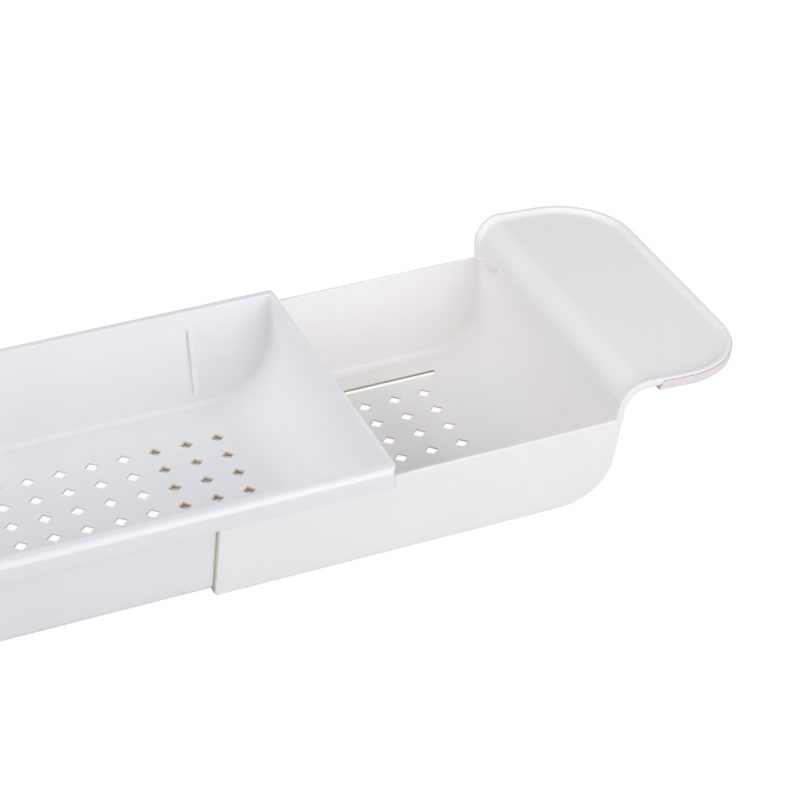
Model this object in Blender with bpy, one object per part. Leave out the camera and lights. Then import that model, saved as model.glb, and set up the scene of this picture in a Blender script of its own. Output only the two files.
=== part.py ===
"""Extending bath caddy: a centre tray between two sliding side trays.

The side trays slide along X under the centre tray. Each one ends in a wide
flange with a soft grip pad, which rests on the edge of the bath.
Units are metres, +Z is up, +X runs along the caddy, and the origin lies under
the middle of the caddy on the plane that its lowest rails rest on.
"""

import math

import bmesh
import bpy
from mathutils import Matrix, Vector

# Drain holes, squares set on their corners
HOLE_PITCH = 0.015
HOLE_HALF_DIAGONAL = 0.0033
HOLE_ROWS = 6
CENTRE_COLUMNS = 28
SIDE_COLUMNS = 6

# Moulded walls and the play between the trays
WALL_DRAFT = math.radians(9.7)
FLOOR_OUTSIDE_ROWS = 0.0287
CENTRE_WALL = 0.0017
CENTRE_FLOOR = 0.0017
SIDE_WALL = 0.0017
SIDE_FLOOR = 0.0017
WALL_PLAY = 0.0005
FLOOR_PLAY = 0.0008
SEAT_GAP = 0.0003

# How far cutters run past what they cut
OVERRUN = 0.003

# Material indices that mark the faces of a prism while its edges are rounded
RUN, WALL, SHARP = range(3)

# Centre tray
CENTRE_DEPTH = 0.0468
CENTRE_SWEEP_START = 0.0085
CENTRE_SWEEP_RADIUS = 0.032
CENTRE_END_DRAFT = math.radians(3.0)
CENTRE_FILLET = 0.0025
HEM_WALL = 0.0015
HEM_DEPTH = 0.011
HEM_PLAY = 0.0005
HEM_ROUND = 0.003
RIDGE_WIDTH = 0.004
RIDGE_TOP_WIDTH = 0.0028
RIDGE_PROUD = 0.0012
RIDGE_FOOT_HEIGHT = 0.0067
RIDGE_TOP_HEIGHT = 0.0383

# Side trays, at the reach that the caddy is set to
REST_REACH = 0.1029
RETRACT_TRAVEL = 0.102
EXTEND_TRAVEL = 0.018
SIDE_TOP_BELOW_RIM = 0.0058
SIDE_SWEEP_START = 0.021
SIDE_SWEEP_RADIUS = 0.022
SIDE_END_DRAFT = math.radians(5.0)
SIDE_FILLET = 0.003
SIDE_OUTER_ROUND = 0.0012
INNER_EDGE_LEAN = 0.0022
CURL_RADIUS = 0.0115
FLANGE_ABOVE_RIM = 0.0112
FLANGE_REACH = 0.0537
FLANGE_CORNER_RADIUS = 0.034
FLANGE_SLOPE = math.radians(2.9)
RIM_RISE = 0.0020
RIM_WIDTH = 0.0017
LEDGE_WIDTH = 0.021
LEDGE_PROUD = 0.0015
LEDGE_RISE = 0.005
LEDGE_DEPTH = 0.003

# Grip pads, which fill a rebate round the edge of the flange
PAD_START = 0.0044
PAD_END_LEAN = 0.0025
PAD_FLOOR = 0.0021
PAD_PROUD = 0.0005
PAD_REBATE = 0.001
PAD_LIP = 0.0009
PAD_ROUND = 0.0007

# Slots, the guide keys that run in them, and the buttons under the keys
SLOT_WIDTH = 0.004
SLOT_SPARE = 0.008
SLOT_LAND = 0.0142
KEY_LENGTH = 0.010
KEY_OVERHANG = 0.0001
RAIL_DEPTH = 0.0022
RAIL_WIDTH = 0.0014
BUTTON_RADIUS = 0.0045
BUTTON_THICKNESS = 0.0014
BUTTON_CHAMFER = 0.0003
BUTTON_SIDE_PLAY = 0.0005
PIN_RADIUS = 0.0008
PIN_LENGTH = 0.003
PIN_TIP_PLAY = 0.0004

# Steps round the curves
SWEEP_STEPS = 10
CURL_STEPS = 10
CORNER_STEPS = 12
FILLET_STEPS = 3
ROUND_STEPS = 2
HEM_STEPS = 4
BUTTON_STEPS = 20
RIDGE_STEPS = 12

# Heights, from the resting plane up
SIDE_FLOOR_UNDER = RAIL_DEPTH
SIDE_FLOOR_TOP = SIDE_FLOOR_UNDER + SIDE_FLOOR
CENTRE_FLOOR_UNDER = SIDE_FLOOR_TOP + FLOOR_PLAY
CENTRE_FLOOR_TOP = CENTRE_FLOOR_UNDER + CENTRE_FLOOR
CENTRE_RIM_TOP = CENTRE_FLOOR_TOP + CENTRE_DEPTH
SIDE_WALL_TOP = CENTRE_RIM_TOP - SIDE_TOP_BELOW_RIM
FLANGE_TOP = CENTRE_RIM_TOP + FLANGE_ABOVE_RIM

# The centre tray's lower edge is rounded like the fillet that it slides along
CENTRE_OUTER_ROUND = SIDE_FILLET

# Sideways offsets of the wall faces from the centre tray's inner face
CENTRE_INNER = 0.0
CENTRE_OUTER = CENTRE_INNER + CENTRE_WALL
SIDE_INNER = CENTRE_OUTER + WALL_PLAY
SIDE_OUTER = SIDE_INNER + SIDE_WALL
HEM_INNER = SIDE_OUTER + HEM_PLAY
HEM_OUTER = HEM_INNER + HEM_WALL

# Places along X, on the centre tray from the middle of the caddy
LAST_COLUMN = (CENTRE_COLUMNS - 1) / 2 * HOLE_PITCH
ROW_HALF_SPAN = (HOLE_ROWS - 1) / 2 * HOLE_PITCH
SLOT_Y = ROW_HALF_SPAN + HOLE_PITCH
CENTRE_FLOOR_HALF_WIDTH = ROW_HALF_SPAN + FLOOR_OUTSIDE_ROWS

# Places along X, on a side tray from its outermost column of holes
KEY_ON_SIDE = -REST_REACH
SLOT_INNER_END = KEY_ON_SIDE - KEY_LENGTH / 2 - EXTEND_TRAVEL - SEAT_GAP
SLOT_OUTER_END = KEY_ON_SIDE + KEY_LENGTH / 2 + RETRACT_TRAVEL + SLOT_SPARE
SIDE_INNER_END = SLOT_INNER_END - SLOT_LAND
SWEEP_CENTRE_Z = SIDE_FLOOR_TOP + SIDE_SWEEP_RADIUS
CURL_CENTRE_Z = FLANGE_TOP - CURL_RADIUS
WALL_FOOT_X = SIDE_SWEEP_START + SIDE_SWEEP_RADIUS * math.cos(SIDE_END_DRAFT)
WALL_FOOT_Z = SWEEP_CENTRE_Z - SIDE_SWEEP_RADIUS * math.sin(SIDE_END_DRAFT)
WALL_HEAD_Z = CURL_CENTRE_Z + CURL_RADIUS * math.sin(SIDE_END_DRAFT)
WALL_HEAD_X = WALL_FOOT_X + (WALL_HEAD_Z - WALL_FOOT_Z) * math.tan(SIDE_END_DRAFT)
CURL_CENTRE_X = WALL_HEAD_X + CURL_RADIUS * math.cos(SIDE_END_DRAFT)
FLANGE_END = CURL_CENTRE_X + FLANGE_REACH
FLANGE_CORNER = min(FLANGE_CORNER_RADIUS, FLANGE_REACH - RIM_WIDTH)
PAD_X = CURL_CENTRE_X + PAD_START


def half_width(z, offset):
    """Half the width at height z of the wall face that lies offset outside the inner face."""
    return CENTRE_FLOOR_HALF_WIDTH + offset + (z - CENTRE_FLOOR_TOP) * math.tan(WALL_DRAFT)


def wall_x(z):
    """Where the inner face of a side tray's end wall lies at height z."""
    return WALL_HEAD_X - (WALL_HEAD_Z - z) * math.tan(SIDE_END_DRAFT)


def flange_z(x, offset):
    """Height at x of the plane that lies offset below the flange's sloping top face."""
    crest = CURL_CENTRE_Z + (CURL_RADIUS - offset) / math.cos(FLANGE_SLOPE)
    return crest - (x - CURL_CENTRE_X) * math.tan(FLANGE_SLOPE)


def arc(centre, radius, start, end, steps):
    """Points on an arc, in the plane that centre lies in, with angles in radians."""
    angles = [start + (end - start) * i / steps for i in range(steps + 1)]
    return [(centre[0] + radius * math.cos(a), centre[1] + radius * math.sin(a)) for a in angles]


def clear_scene():
    """Remove the scene's objects and add one collection for the parts and one for the cutters."""
    for obj in list(bpy.data.objects):
        bpy.data.objects.remove(obj)
    parts = bpy.data.collections.new("bath_caddy")
    cutters = bpy.data.collections.new("cutters")
    bpy.context.scene.collection.children.link(parts)
    bpy.context.scene.collection.children.link(cutters)
    return parts, cutters


def plastic(name, colour, roughness):
    """A Principled material of one colour."""
    material = bpy.data.materials.new(name)
    material.use_nodes = True
    shader = material.node_tree.nodes["Principled BSDF"]
    shader.inputs["Base Color"].default_value = (*colour, 1.0)
    shader.inputs["Roughness"].default_value = roughness
    shader.inputs["Metallic"].default_value = 0.0
    return material


def link_mesh(name, bm, collection):
    """Turn a bmesh into an object in the collection."""
    bmesh.ops.recalc_face_normals(bm, faces=bm.faces)
    mesh = bpy.data.meshes.new(name)
    bm.to_mesh(mesh)
    bm.free()
    obj = bpy.data.objects.new(name, mesh)
    collection.objects.link(obj)
    return obj


def as_cutter(obj):
    """Mark a helper solid, so that it shows as wire and isn't part of the object."""
    obj.hide_render = True
    obj.display_type = "WIRE"
    return obj


def cut(target, tool, operation="DIFFERENCE"):
    """Add a Boolean modifier to the target."""
    modifier = target.modifiers.new(tool.name, "BOOLEAN")
    modifier.operation = operation
    modifier.solver = "EXACT"
    modifier.object = tool


def baked(obj, name, collection):
    """Replace an object and its modifiers by a plain mesh in the collection."""
    depsgraph = bpy.context.evaluated_depsgraph_get()
    mesh = bpy.data.meshes.new_from_object(obj.evaluated_get(depsgraph))
    mesh.name = name
    bpy.data.objects.remove(obj)
    result = bpy.data.objects.new(name, mesh)
    collection.objects.link(result)
    return result


def round_edges(bm, edges, radius, steps, kind=RUN):
    """Round some edges of a bmesh, and mark the faces that come of it as one kind."""
    bmesh.ops.bevel(
        bm, geom=edges, offset=radius, offset_type="OFFSET", segments=steps,
        profile=0.5, affect="EDGES", clamp_overlap=True, material=kind,
    )


def prism(near, far):
    """A solid between two outlines with as many points, its two caps and the faces between."""
    bm = bmesh.new()
    near_verts = [bm.verts.new(point) for point in near]
    far_verts = [bm.verts.new(point) for point in far]
    caps = [bm.faces.new(near_verts), bm.faces.new(far_verts)]
    ring = []
    for i, (first, opposite) in enumerate(zip(near_verts, far_verts)):
        following = (i + 1) % len(near_verts)
        ring.append(bm.faces.new((first, opposite, far_verts[following], near_verts[following])))
    bmesh.ops.recalc_face_normals(bm, faces=bm.faces)
    return bm, caps, ring


def drafted_prism(outline, offset, corner_x=None, corner_radius=0.0, fillet=0.0,
                  steps=FILLET_STEPS, sharp=()):
    """A solid whose outline in X and Z is carried sideways to the drafted wall planes.

    The upright edges of the end at corner_x are rounded by corner_radius. The edges between
    the outline's faces and the walls are then rounded by fillet, except on the faces that
    start at the points of the outline with the numbers in sharp.
    """
    near = [(x, -half_width(z, offset), z) for x, z in outline]
    far = [(x, half_width(z, offset), z) for x, z in outline]
    bm, caps, ring = prism(near, far)
    for cap in caps:
        cap.material_index = WALL
    for i in sharp:
        ring[i].material_index = SHARP
    for face, point, following in zip(ring, outline, outline[1:] + outline[:1]):
        if corner_x is not None and point[0] == following[0] == corner_x:
            face.material_index = WALL
            upright = [edge for cap in caps for edge in cap.edges if face in edge.link_faces]
    if corner_x is not None:
        round_edges(bm, upright, corner_radius, CORNER_STEPS, WALL)
    if fillet:
        chosen = [
            edge for edge in bm.edges
            if {face.material_index for face in edge.link_faces} == {RUN, WALL}
        ]
        round_edges(bm, chosen, fillet, steps)
    for face in bm.faces:
        face.material_index = RUN
    return bm


def box(name, low, high, collection):
    """A helper box between two corners."""
    bm = bmesh.new()
    bmesh.ops.create_cube(bm, size=1.0)
    size = Vector(high) - Vector(low)
    bmesh.ops.scale(bm, vec=size, verts=bm.verts)
    bmesh.ops.translate(bm, vec=(Vector(high) + Vector(low)) / 2, verts=bm.verts)
    return as_cutter(link_mesh(name, bm, collection))


def drain_holes(name, columns, floor_under, floor_top, collection):
    """One cutter with a diamond prism for each drain hole."""
    bm = bmesh.new()
    height = floor_top - floor_under + 2 * OVERRUN
    for column in columns:
        for row in range(HOLE_ROWS):
            place = Vector((column, row * HOLE_PITCH - ROW_HALF_SPAN, (floor_top + floor_under) / 2))
            bmesh.ops.create_cone(
                bm, cap_ends=True, segments=4, radius1=HOLE_HALF_DIAGONAL,
                radius2=HOLE_HALF_DIAGONAL, depth=height, matrix=Matrix.Translation(place),
            )
    return as_cutter(link_mesh(name, bm, collection))


def centre_outline(offset, top):
    """The centre tray's long section, its floor lowered and its ends moved out by offset.

    It runs from the top of the left end to the top of the right one, so it closes at the top.
    """
    floor = CENTRE_FLOOR_TOP - offset
    centre = (LAST_COLUMN + CENTRE_SWEEP_START, CENTRE_FLOOR_TOP + CENTRE_SWEEP_RADIUS)
    sweep = arc(centre, CENTRE_SWEEP_RADIUS + offset, -math.pi / 2, -CENTRE_END_DRAFT, SWEEP_STEPS)
    foot_x, foot_z = sweep[-1]
    head = (foot_x + (top - foot_z) * math.tan(CENTRE_END_DRAFT), top)
    right = [(centre[0], floor)] + sweep[1:] + [head]
    left = [(-x, z) for x, z in reversed(right)]
    return left + right


def hem_section():
    """The rolled rim of the centre tray's long side, in Y and Z, from the wall to the hem."""
    roof = CENTRE_RIM_TOP - HEM_WALL
    hem_foot = CENTRE_RIM_TOP - HEM_DEPTH
    inside = CENTRE_WALL / 2
    radius = min(HEM_ROUND, HEM_DEPTH / 2)
    centre = (half_width(CENTRE_RIM_TOP - radius, HEM_OUTER) - radius, CENTRE_RIM_TOP - radius)
    return [
        (half_width(roof, inside), roof),
        (half_width(roof, HEM_INNER), roof),
        (half_width(hem_foot, HEM_INNER), hem_foot),
        (half_width(hem_foot, HEM_OUTER), hem_foot),
        *arc(centre, radius, 0.0, math.pi / 2, HEM_STEPS),
        (half_width(CENTRE_RIM_TOP, inside), CENTRE_RIM_TOP),
    ]


def build_hem(side, collection):
    """One long rim, which the side tray's wall runs under."""
    end = centre_outline(CENTRE_WALL, CENTRE_RIM_TOP)[-1][0]
    section = hem_section()
    bm, _, _ = prism([(-end, side * y, z) for y, z in section],
                     [(end, side * y, z) for y, z in section])
    name = "near_hem" if side < 0 else "far_hem"
    return as_cutter(link_mesh(name, bm, collection))


def build_ridge(end, side, collection):
    """A tapered ridge up the inner face of the centre tray's long wall."""
    bm = bmesh.new()
    height = RIDGE_TOP_HEIGHT - RIDGE_FOOT_HEIGHT
    bmesh.ops.create_cone(
        bm, cap_ends=True, segments=RIDGE_STEPS, radius1=RIDGE_WIDTH / 2,
        radius2=RIDGE_TOP_WIDTH / 2, depth=height / math.cos(WALL_DRAFT),
        matrix=Matrix.Rotation(math.pi / RIDGE_STEPS, 4, "Z"),
    )
    bmesh.ops.scale(bm, vec=(1.0, 2 * RIDGE_PROUD / RIDGE_WIDTH, 1.0), verts=bm.verts)
    bmesh.ops.rotate(bm, matrix=Matrix.Rotation(-side * WALL_DRAFT, 3, "X"), verts=bm.verts)
    middle = CENTRE_FLOOR_TOP + (RIDGE_TOP_HEIGHT + RIDGE_FOOT_HEIGHT) / 2
    place = (end * LAST_COLUMN, side * half_width(middle, CENTRE_INNER), middle)
    bmesh.ops.translate(bm, vec=place, verts=bm.verts)
    return as_cutter(link_mesh(f"ridge_{end}_{side}", bm, collection))


def build_centre_tray(parts, cutters, material):
    """The fixed middle tray with its hems, drain holes and guide keys."""
    outer = centre_outline(CENTRE_WALL, CENTRE_RIM_TOP)
    body = drafted_prism(outer, CENTRE_OUTER, fillet=CENTRE_OUTER_ROUND, steps=ROUND_STEPS,
                         sharp=[-1])
    tray = link_mesh("centre_tray", body, cutters)
    for side in (-1, 1):
        cut(tray, build_hem(side, cutters), "UNION")
    inner = centre_outline(0.0, CENTRE_RIM_TOP + OVERRUN)
    hollow = drafted_prism(inner, CENTRE_INNER, fillet=CENTRE_FILLET, sharp=[-1])
    cut(tray, as_cutter(link_mesh("centre_hollow", hollow, cutters)))
    key_foot = SIDE_FLOOR_UNDER - KEY_OVERHANG
    for end in (-1, 1):
        for side in (-1, 1):
            cut(tray, build_ridge(end, side, cutters), "UNION")
            x, y = end * LAST_COLUMN, side * SLOT_Y
            half = (KEY_LENGTH / 2, SLOT_WIDTH / 2 - SEAT_GAP)
            key = box(f"key_{end}_{side}", (x - half[0], y - half[1], key_foot),
                      (x + half[0], y + half[1], CENTRE_FLOOR_UNDER + CENTRE_FLOOR / 2), cutters)
            cut(tray, key, "UNION")
            bm = bmesh.new()
            depth = SEAT_GAP + PIN_LENGTH + PIN_TIP_PLAY
            bmesh.ops.create_cone(
                bm, cap_ends=True, segments=BUTTON_STEPS, radius1=PIN_RADIUS + SEAT_GAP,
                radius2=PIN_RADIUS + SEAT_GAP, depth=depth,
                matrix=Matrix.Translation((x, y, key_foot - 2 * SEAT_GAP + depth / 2)),
            )
            cut(tray, as_cutter(link_mesh(f"pin_hole_{end}_{side}", bm, cutters)))
    columns = [i * HOLE_PITCH - LAST_COLUMN for i in range(CENTRE_COLUMNS)]
    cut(tray, drain_holes("centre_holes", columns, CENTRE_FLOOR_UNDER, CENTRE_FLOOR_TOP, cutters))
    tray = baked(tray, "centre_tray", parts)
    tray.data.materials.append(material)


def side_outline(offset):
    """The side tray's long section from floor to flange, moved outwards by offset."""
    sweep = arc((SIDE_SWEEP_START, SWEEP_CENTRE_Z), SIDE_SWEEP_RADIUS + offset,
                -math.pi / 2, -SIDE_END_DRAFT, SWEEP_STEPS)
    curl = arc((CURL_CENTRE_X, CURL_CENTRE_Z), CURL_RADIUS - offset,
               math.pi - SIDE_END_DRAFT, math.pi / 2 - FLANGE_SLOPE, CURL_STEPS)
    return sweep, curl


def flange_block(name, inset, low, high, start, collection, lean=0.0, edge_round=0.0):
    """The flange's plan from start to its rounded end, inset all round.

    It lies between the planes that are low and high below the flange's top face, and its
    upper plane starts later than the lower one by lean. Its edges, except those of the
    upper plane, are rounded by edge_round.
    """
    end = FLANGE_END - inset
    outline = [
        (start, flange_z(start, low)),
        (end, flange_z(end, low)),
        (end, flange_z(end, high)),
        (start + lean, flange_z(start + lean, high)),
    ]
    block = drafted_prism(outline, SIDE_OUTER - inset, end, FLANGE_CORNER - inset, edge_round,
                          ROUND_STEPS, sharp=[2])
    return as_cutter(link_mesh(name, block, collection))


def build_ledge(collection):
    """A thicker patch of the end wall, which carries one side wall's top on round the corner."""
    corner = half_width(SIDE_WALL_TOP, SIDE_INNER) + SIDE_WALL / 2
    inner = corner - LEDGE_WIDTH
    foot = SIDE_WALL_TOP - LEDGE_DEPTH
    section = [(corner, foot), (inner, foot), (inner, SIDE_WALL_TOP + LEDGE_RISE),
               (corner, SIDE_WALL_TOP)]
    bm, _, _ = prism([(wall_x(z) - LEDGE_PROUD, y, z) for y, z in section],
                     [(wall_x(z) + SIDE_WALL / 2, y, z) for y, z in section])
    return as_cutter(link_mesh("ledge", bm, collection))


def build_side_tray_mesh(cutters):
    """A side tray in its own frame, with its outermost column of holes at X = 0."""
    sweep, curl = side_outline(SIDE_WALL)
    _, rim = side_outline(-RIM_RISE)
    rim_start = wall_x(SIDE_WALL_TOP) + rim[0][0] - wall_x(rim[0][1])
    underside = [
        (SIDE_INNER_END, SIDE_FLOOR_TOP - SIDE_FLOOR),
        (sweep[0][0], SIDE_FLOOR_TOP - SIDE_FLOOR),
        *sweep[1:],
        *curl,
        (FLANGE_END, flange_z(FLANGE_END, SIDE_WALL)),
    ]
    top = [
        (FLANGE_END, flange_z(FLANGE_END, -RIM_RISE)),
        *reversed(rim),
        (rim_start, SIDE_WALL_TOP),
        (SIDE_INNER_END + INNER_EDGE_LEAN, SIDE_WALL_TOP),
    ]
    outline = underside + top
    body = drafted_prism(outline, SIDE_OUTER, FLANGE_END, FLANGE_CORNER, SIDE_OUTER_ROUND,
                         ROUND_STEPS, sharp=range(len(underside), len(outline)))
    tray = link_mesh("side_tray", body, cutters)

    sweep, curl = side_outline(0.0)
    lid = FLANGE_TOP + RIM_RISE + OVERRUN
    end = FLANGE_END - RIM_WIDTH
    hollow_outline = [
        (SIDE_INNER_END - OVERRUN, SIDE_FLOOR_TOP),
        *sweep,
        *curl,
        (end, flange_z(end, 0)),
        (end, lid),
        (SIDE_INNER_END - OVERRUN, lid),
    ]
    hollow = drafted_prism(hollow_outline, SIDE_INNER, end, FLANGE_CORNER - RIM_WIDTH,
                           SIDE_FILLET, sharp=[-2, -1])
    cut(tray, as_cutter(link_mesh("side_hollow", hollow, cutters)))

    cut(tray, build_ledge(cutters), "UNION")
    for side in (-1, 1):
        add_slot(tray, side, cutters)

    low = SIDE_WALL + OVERRUN
    high = PAD_LIP - RIM_RISE
    rebate = flange_block("pad_rebate", -OVERRUN, low, high, PAD_X, cutters, PAD_END_LEAN)
    core = flange_block("flange_core", PAD_REBATE, low + OVERRUN, high - OVERRUN,
                        PAD_X - OVERRUN, cutters)
    cut(rebate, core)
    cut(tray, rebate)
    columns = [-i * HOLE_PITCH for i in range(SIDE_COLUMNS)]
    cut(tray, drain_holes("side_holes", columns, SIDE_FLOOR_UNDER, SIDE_FLOOR_TOP, cutters))
    return tray


def add_slot(tray, side, cutters):
    """A slot through the floor, with a rail under it all round."""
    y = side * SLOT_Y
    room = BUTTON_RADIUS + BUTTON_SIDE_PLAY
    rail = box(f"rail_{side}", (SLOT_INNER_END - room - RAIL_WIDTH, y - room - RAIL_WIDTH, 0.0),
               (SLOT_OUTER_END + room + RAIL_WIDTH, y + room + RAIL_WIDTH,
                SIDE_FLOOR_UNDER + SIDE_FLOOR / 2), cutters)
    cut(tray, rail, "UNION")
    pocket = box(f"pocket_{side}", (SLOT_INNER_END - room, y - room, -OVERRUN),
                 (SLOT_OUTER_END + room, y + room, SIDE_FLOOR_UNDER), cutters)
    cut(tray, pocket)
    slot = box(f"slot_{side}", (SLOT_INNER_END, y - SLOT_WIDTH / 2, 0.0),
               (SLOT_OUTER_END, y + SLOT_WIDTH / 2, SIDE_FLOOR_TOP + OVERRUN), cutters)
    cut(tray, slot)


def build_pad_mesh(cutters):
    """The soft grip that wraps the flange's underside and outer edge."""
    low = SIDE_WALL + SEAT_GAP + PAD_FLOOR
    high = PAD_LIP - RIM_RISE + SEAT_GAP
    pad = flange_block("grip_pad", -PAD_PROUD, low, high, PAD_X + SEAT_GAP, cutters,
                       PAD_END_LEAN, PAD_ROUND)
    seat = flange_block("pad_seat", PAD_REBATE - SEAT_GAP, SIDE_WALL + SEAT_GAP,
                        high - OVERRUN, PAD_X - OVERRUN, cutters)
    cut(pad, seat)
    return pad


def build_side_pieces(parts, cutters, tray_material, pad_material):
    """Both side trays and their pads, the left ones turned half round."""
    shapes = (
        ("side_tray", build_side_tray_mesh(cutters), tray_material),
        ("grip_pad", build_pad_mesh(cutters), pad_material),
    )
    for base, shape, material in shapes:
        first = baked(shape, base, parts)
        first.data.materials.append(material)
        mesh = first.data
        bpy.data.objects.remove(first)
        for word, end in (("right", 1), ("left", -1)):
            piece = bpy.data.objects.new(f"{base}_{word}", mesh)
            parts.objects.link(piece)
            slider = bpy.data.objects.get(f"slider_{word}")
            if slider is None:
                slider = bpy.data.objects.new(f"slider_{word}", None)
                parts.objects.link(slider)
                slider.location.x = end * (LAST_COLUMN + REST_REACH)
                slider.rotation_euler.z = 0.0 if end > 0 else math.pi
            piece.parent = slider


def build_buttons(parts, material):
    """Four guide buttons, pressed into the keys from below."""
    head_top = SIDE_FLOOR_UNDER - KEY_OVERHANG - SEAT_GAP
    head_foot = head_top - BUTTON_THICKNESS
    tip = head_top + PIN_LENGTH
    profile = [
        (0.0, head_foot),
        (BUTTON_RADIUS - BUTTON_CHAMFER, head_foot),
        (BUTTON_RADIUS, head_foot + BUTTON_CHAMFER),
        (BUTTON_RADIUS, head_top),
        (PIN_RADIUS, head_top),
        (PIN_RADIUS, tip - BUTTON_CHAMFER),
        (PIN_RADIUS - BUTTON_CHAMFER, tip),
        (0.0, tip),
    ]
    bm = bmesh.new()
    verts = [bm.verts.new((x, 0.0, z)) for x, z in profile]
    edges = [bm.edges.new(pair) for pair in zip(verts, verts[1:])]
    bmesh.ops.spin(bm, geom=verts + edges, cent=(0.0, 0.0, 0.0), axis=(0.0, 0.0, 1.0),
                   angle=2 * math.pi, steps=BUTTON_STEPS, use_merge=True)
    bmesh.ops.remove_doubles(bm, verts=bm.verts, dist=SEAT_GAP / 10)
    first = link_mesh("guide_button", bm, parts)
    first.data.materials.append(material)
    mesh = first.data
    bpy.data.objects.remove(first)
    for word, end in (("right", 1), ("left", -1)):
        for place, side in (("near", -1), ("far", 1)):
            button = bpy.data.objects.new(f"guide_button_{word}_{place}", mesh)
            button.location = (end * LAST_COLUMN, side * SLOT_Y, 0.0)
            parts.objects.link(button)


def main():
    """Build every piece of the caddy."""
    parts, cutters = clear_scene()
    centre_white = plastic("white_polypropylene_centre", (0.80, 0.83, 0.87), 0.42)
    side_white = plastic("white_polypropylene_side", (0.84, 0.83, 0.81), 0.42)
    pad_pink = plastic("soft_grip_rubber", (0.78, 0.66, 0.67), 0.7)
    button_white = plastic("white_acetal", (0.82, 0.82, 0.80), 0.35)
    build_centre_tray(parts, cutters, centre_white)
    build_side_pieces(parts, cutters, side_white, pad_pink)
    build_buttons(parts, button_white)


main()
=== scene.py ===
"""An extending bath caddy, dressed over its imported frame.

A long perforated tray of injection-moulded polypropylene stands between two side
trays of the same plastic. They slide under it, and each one ends in a dished flange
with a soft moulded grip pad round it. Units are metres, in the frame's own axes.
"""

from __future__ import annotations

import logging
import math
from collections.abc import Callable, Sequence
from dataclasses import dataclass
from enum import Enum
from typing import Any

import bmesh
import bpy
from mathutils import Matrix, Vector

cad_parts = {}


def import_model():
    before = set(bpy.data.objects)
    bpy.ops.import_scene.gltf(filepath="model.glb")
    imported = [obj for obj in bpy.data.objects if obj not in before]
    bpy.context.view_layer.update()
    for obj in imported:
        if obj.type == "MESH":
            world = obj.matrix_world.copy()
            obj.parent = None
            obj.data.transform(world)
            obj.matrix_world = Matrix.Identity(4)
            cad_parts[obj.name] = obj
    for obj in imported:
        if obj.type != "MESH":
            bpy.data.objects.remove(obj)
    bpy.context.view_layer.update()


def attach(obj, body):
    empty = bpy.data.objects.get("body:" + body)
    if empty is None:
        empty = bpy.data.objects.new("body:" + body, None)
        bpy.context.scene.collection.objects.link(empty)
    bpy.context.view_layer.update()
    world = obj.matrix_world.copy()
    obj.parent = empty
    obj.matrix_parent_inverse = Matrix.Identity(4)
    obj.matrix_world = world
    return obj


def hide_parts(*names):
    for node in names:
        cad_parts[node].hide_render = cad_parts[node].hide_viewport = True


LOG = logging.getLogger("bath_caddy")
MM = 0.001
MERGE = 0.01 * MM
NEAR = 0.1 * MM
Point = tuple[float, float, float]
Normals = Sequence[Vector]
Test = Callable[[Vector, Normals], bool]
Piece = bpy.types.Object
Material = bpy.types.Material
Tree = bpy.types.NodeTree
Socket = bpy.types.NodeSocket


class Body(Enum):
    """The frame's moving bodies."""

    CENTRE = "centre"
    RIGHT = "right_side"
    LEFT = "left_side"


class Slot(Enum):
    """The record's material slots."""

    CENTRE = "centre_plastic"
    SIDE = "side_plastic"
    GRIP = "grip_rubber"
    BUTTON = "button_plastic"


class Joining(Enum):
    """How one solid is joined with another."""

    CUT = "DIFFERENCE"
    FUSE = "UNION"
    KEEP = "INTERSECT"


class Kind(Enum):
    """The kind of mesh element that is picked."""

    EDGE = "EDGE"
    FACE = "FACE"


class Plane(Enum):
    """The plane that a section turns in: the axis that carries X, or Y, on towards Z."""

    LONG = (0.0, 1.0, 0.0)
    CROSS = (-1.0, 0.0, 0.0)


# ---------------------------------------------------------------- modelling by hand


def activate(piece: Piece) -> None:
    """Leave edit mode, and make one object the only selected and active one.

    Args:
        piece: The object to work on.
    """
    if bpy.context.object is not None and bpy.context.object.mode != "OBJECT":
        bpy.ops.object.mode_set(mode="OBJECT")
    bpy.ops.object.select_all(action="DESELECT")
    piece.select_set(True)
    bpy.context.view_layer.objects.active = piece


def edit(piece: Piece) -> None:
    """Open one object's mesh in edit mode with nothing selected.

    Args:
        piece: The object to open.
    """
    activate(piece)
    bpy.ops.object.mode_set(mode="EDIT")
    bpy.ops.mesh.select_mode(type="VERT")
    bpy.ops.mesh.select_all(action="DESELECT")


def settle(name: str) -> Piece:
    """Name the object just added, and move its place, turn and size into its mesh.

    Args:
        name: The object's name.

    Returns:
        The object, at the origin.
    """
    piece = bpy.context.object
    piece.name = name
    activate(piece)
    bpy.ops.object.transform_apply(location=True, rotation=True, scale=True)
    return piece


def pick(piece: Piece, kind: Kind, test: Test) -> int:
    """Open the mesh and select the edges or faces that pass a test.

    Args:
        piece: The object.
        kind: Whether edges or faces are picked.
        test: Told an element's middle and the normals of its faces.

    Returns:
        How many were selected.
    """
    edit(piece)
    bpy.ops.mesh.select_mode(type=kind.value)
    mesh = bmesh.from_edit_mesh(piece.data)
    count = 0
    for item in mesh.edges if kind is Kind.EDGE else mesh.faces:
        middle = sum((vert.co for vert in item.verts), Vector()) / len(item.verts)
        faces = item.link_faces if kind is Kind.EDGE else (item,)
        chosen = test(middle, [face.normal for face in faces])
        item.select_set(chosen)
        count += chosen
    bmesh.update_edit_mesh(piece.data)
    return count


def upright(_: Vector, normals: Normals) -> bool:
    """Pass an edge that lies between upright faces."""
    return all(abs(normal.z) < 0.1 for normal in normals)


def facing_down(_: Vector, normals: Normals) -> bool:
    """Pass a face on the underside, or one of its edges."""
    return any(normal.z < -0.9 for normal in normals)


def facing_up(_: Vector, normals: Normals) -> bool:
    """Pass a face on the top, or one of its edges."""
    return any(normal.z > 0.9 for normal in normals)


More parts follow.
